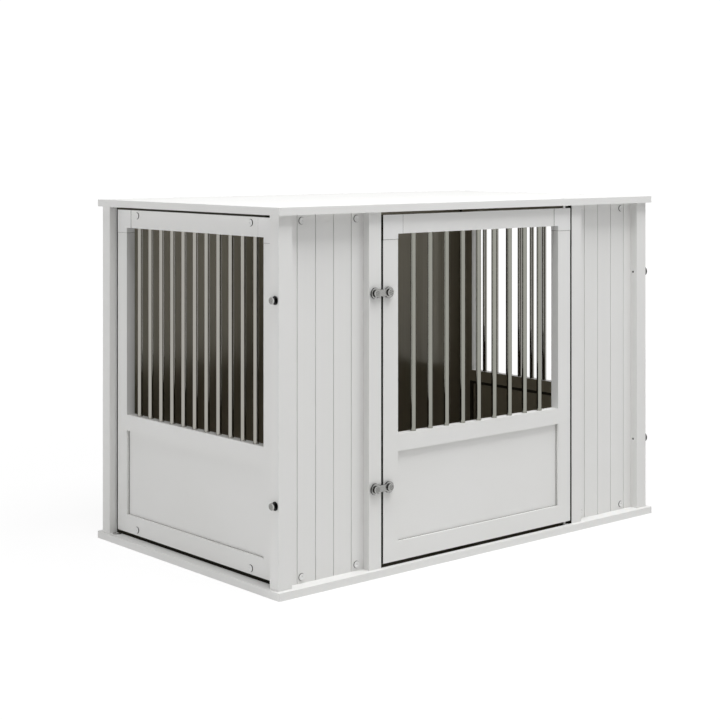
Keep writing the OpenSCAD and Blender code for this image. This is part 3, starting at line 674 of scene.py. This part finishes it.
def screw_cap(radius, height):
    """A cap whose collar and side wall are painted dark as shade, with a rounded rim and a dimple."""
    drum = radius - COLLAR_WIDTH
    dimple, depth = DIMPLE_RADIUS, DIMPLE_DEPTH
    shape = turned([(0, 0), (radius, 0), (radius, COLLAR_HEIGHT), (drum, COLLAR_HEIGHT),
                    *rounded(drum, height, CAP_ROUND, 5), (dimple + 0.5 * mm, height),
                    (dimple, height - 0.3 * mm), (dimple * 0.6, height - depth), (0, height - depth)])
    # slot 1, the side wall and the collar, takes the painted shade
    for face in shape.faces:
        middle = face.calc_center_median()
        on_side = math.hypot(middle.x, middle.y) > drum - CAP_ROUND
        face.material_index = 1 if on_side and middle.z < height - CAP_ROUND else 0
    return shape


def pivot_cap(radius, height):
    """A cap with a short skirt, a rounded rim and a low crown."""
    turn = [i * math.pi / 2 / CROWN_STEPS for i in range(CROWN_STEPS + 1)]
    rise = height - SKIRT_HEIGHT
    crown = [(radius * math.cos(a), SKIRT_HEIGHT + rise * math.sin(a)) for a in turn]
    return turned([(0, 0), (radius, 0), *crown[:-1], (0, height)])


cap_boxes = solids_of("screw_caps")
cap_size = cap_boxes[0][1] - cap_boxes[0][0]
cap_radius, cap_height = max(cap_size) / 2, min(cap_size)
cap = screw_cap(cap_radius, cap_height)
cap_copies = [(cap, end - direction * cap_height, direction) for direction, end in map(outward, cap_boxes)]
place_copies("screw_cap_drums", cap_copies, "crate", [plastic, collar], "screw_caps")

pivot_boxes = solids_of("pivot_caps")
top_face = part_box("top_board")[1].z
pivot = pivot_cap((pivot_boxes[0][1].x - pivot_boxes[0][0].x) / 2, pivot_boxes[0][1].z - top_face)
pivot_copies = [(pivot, Vector(((low.x + high.x) / 2, (low.y + high.y) / 2, top_face)), Vector((0, 0, 1)))
                for low, high in pivot_boxes]
place_copies("pivot_cap_crowns", pivot_copies, "crate", [plastic], "pivot_caps")

# %% [markdown]
# A latch stud is turned from bar: a screw shank in the wood, a neck that the hook drops over, and a
# flat head with a rounded rim. The head's face is dished a little and polished, the rim is polished,
# and the shank, the neck and the back part of the head's side are painted black as shade, so the
# shape carries three materials, chosen face by face.

# %% Latch studs
HEAD_THICKNESS = 4.0 * mm
NECK_RADIUS = 3.5 * mm
NECK_LENGTH = 4.2 * mm
SHANK_RADIUS = 2.0 * mm
HEAD_ROUND = 0.9 * mm
HEAD_DISH = 0.3 * mm
BLACK_SIDE = 1.8 * mm
FACE_SLOT, RIM_SLOT, BLACK_SLOT = 0, 1, 2


def latch_stud(head_radius, length):
    """A stud pointing along +Z with the outer face of its head at z = 0."""
    back = -HEAD_THICKNESS
    face_radius = head_radius - HEAD_ROUND
    shape = turned([(0, -length), (SHANK_RADIUS - 0.6 * mm, -length), (SHANK_RADIUS, -length + 0.8 * mm),
                    (SHANK_RADIUS, back - NECK_LENGTH), (NECK_RADIUS, back - NECK_LENGTH),
                    (NECK_RADIUS, back), (head_radius - 0.3 * mm, back), (head_radius, back + 0.3 * mm),
                    (head_radius, back + BLACK_SIDE),
                    *rounded(head_radius, 0, HEAD_ROUND, 5), (face_radius * 0.85, -HEAD_DISH * 0.4),
                    (face_radius * 0.45, -HEAD_DISH), (0, -HEAD_DISH)], steps=40)
    for face in shape.faces:
        middle = face.calc_center_median()
        # below this height the stud is painted black as shade
        if middle.z < back + BLACK_SIDE:
            face.material_index = BLACK_SLOT
        elif math.hypot(middle.x, middle.y) > face_radius:
            face.material_index = RIM_SLOT
        else:
            face.material_index = FACE_SLOT
    return shape


def place_studs(name, node_name, body):
    """Turned studs in place of a node's, each as long as the one that it stands for."""
    copies = []
    for box in solids_of(node_name):
        direction, end = outward(box)
        size = box[1] - box[0]
        copies.append((latch_stud(size.z / 2, max(size)), end, direction))
    place_copies(name, copies, body, [head_face, polished, shade_black], node_name)


place_studs("post_studs", "post_latch_studs", "crate")
place_studs("spare_side_studs", "spare_studs", "crate")
place_studs("front_door_studs", "front_door_latch_studs", "front_door")
place_studs("side_door_studs", "side_door_latch_studs", "side_door")

# %% [markdown]
# The photo is a studio cut-out: a plain white ground, and soft light that comes mostly from above.
# The floor is a large pale plane. Rays from the camera and mirror reflections see it mostly as pure
# white, while lamps still shade it, so a faint contact shadow stays. Its white share rises to the
# whole further out, so that no horizon shows.

# %% Floor and world
FLOOR_SIZE = 60
FLOOR_ALBEDO = 0.8
NEAR_WHITE_SHARE = 0.87
NEAR_RADIUS = 0.9
FAR_RADIUS = 3.0
SEEN_WHITE = 1.06
SKY_LIGHT = 0.115


def seen_directly(tree):
    """1 for rays from the camera, from mirrors and through glass, otherwise 0."""
    path = tree.nodes.new("ShaderNodeLightPath").outputs
    mirrored = math_node(tree, "MAXIMUM", path["Is Camera Ray"], path["Is Glossy Ray"])
    return math_node(tree, "MAXIMUM", mirrored, path["Is Transmission Ray"])


def make_floor():
    """The studio floor, which is scenery and not part of the crate."""
    work = bmesh.new()
    bmesh.ops.create_grid(work, x_segments=1, y_segments=1, size=FLOOR_SIZE / 2)
    mesh = bpy.data.meshes.new("studio_floor")
    work.to_mesh(mesh)
    work.free()
    floor = bpy.data.objects.new("studio_floor", mesh)
    bpy.context.scene.collection.objects.link(floor)
    material, tree, shader, place = new_finish("floor_paint")
    shader.inputs["Base Color"].default_value = (FLOOR_ALBEDO, FLOOR_ALBEDO, FLOOR_ALBEDO, 1)
    shader.inputs["Roughness"].default_value = 0.9
    shader.inputs["Specular IOR Level"].default_value = 0.1
    white_ground = node(tree, "ShaderNodeEmission", {"Color": (1, 1, 1, 1), "Strength": SEEN_WHITE})
    distance = node(tree, "ShaderNodeVectorMath", {0: place}, operation="LENGTH").outputs["Value"]
    span = {"Value": distance, "From Min": NEAR_RADIUS, "From Max": FAR_RADIUS,
            "To Min": NEAR_WHITE_SHARE, "To Max": 1}
    whiter = node(tree, "ShaderNodeMapRange", span).outputs[0]
    share = math_node(tree, "MULTIPLY", seen_directly(tree), whiter)
    both = node(tree, "ShaderNodeMixShader", {0: share, 1: shader.outputs[0], 2: white_ground.outputs[0]})
    tree.links.new(both.outputs[0], tree.nodes["Material Output"].inputs["Surface"])
    mesh.materials.append(material)


make_floor()
world = bpy.data.worlds.new("studio")
bpy.context.scene.world = world
world.use_nodes = True
sky = world.node_tree
sky.nodes.clear()
lit = node(sky, "ShaderNodeBackground", {"Color": (1, 1, 1, 1), "Strength": SKY_LIGHT})
seen = node(sky, "ShaderNodeBackground", {"Color": (1, 1, 1, 1), "Strength": SEEN_WHITE})
sky_mix = node(sky, "ShaderNodeMixShader", {0: seen_directly(sky), 1: lit.outputs[0], 2: seen.outputs[0]})
node(sky, "ShaderNodeOutputWorld", {"Surface": sky_mix.outputs[0]})
print("floor and world ready")

# %% [markdown]
# Large soft boxes shape the crate. The one overhead whitens the top and lets the top board throw its
# long soft shade down the front, and the ones at the front and at the left fill the two sides. They
# are hidden from mirror reflections, where they would show as streaks that the photo doesn't have.

# %% Lamps
def soft_box(name, at, towards, width, depth, power):
    """A rectangular area lamp in metres and watts, aimed at a point."""
    lamp = bpy.data.lights.new(name, "AREA")
    lamp.shape = "RECTANGLE"
    lamp.size, lamp.size_y, lamp.energy = width, depth, power
    holder = bpy.data.objects.new(name, lamp)
    bpy.context.scene.collection.objects.link(holder)
    holder.location = at
    holder.rotation_euler = (Vector(towards) - Vector(at)).to_track_quat("-Z", "Y").to_euler()
    holder.visible_glossy = False


soft_box("wide_steep", (0, -1.2, 3.4), (0, -0.5, 0.4), 3.0, 1.4, 111)
soft_box("high_front", (0.4, -2.6, 2.6), (0, 0, 0.35), 2.2, 1.4, 17)
soft_box("high_left", (-2.6, 0.2, 2.6), (0, 0, 0.35), 1.4, 2.2, 2)
soft_box("low_left", (-3.4, 0.4, 0.9), (0, 0, 0.3), 2.0, 1.6, 29)
print("lamps ready")

# %% [markdown]
# The camera stands at the height and heading from which the photo was taken. Its verticals are
# parallel, so the camera is level, and the picture is shifted down instead of the lens being tilted.

# %% Camera
PICTURE = 720
HORIZON_ROW = 148.26
FOCAL_PIXELS = 1568.84
HEADING = -40.878
EYE = (-2.1073, -2.3615, 0.7597)
SENSOR = 36
FAR_CLIP = 200

camera_data = bpy.data.cameras.new("photo_camera")
camera = bpy.data.objects.new("photo_camera", camera_data)
bpy.context.scene.collection.objects.link(camera)
camera.location = EYE
camera.rotation_euler = (math.radians(90), 0, math.radians(HEADING))
camera_data.sensor_width = SENSOR
camera_data.lens = FOCAL_PIXELS * SENSOR / PICTURE
camera_data.shift_y = -(PICTURE / 2 - HORIZON_ROW) / PICTURE
camera_data.clip_end = FAR_CLIP
bpy.context.scene.camera = camera
bpy.context.scene.view_settings.view_transform = "Standard"
print("camera: lens", round(camera_data.lens, 2), "shift", round(camera_data.shift_y, 4))
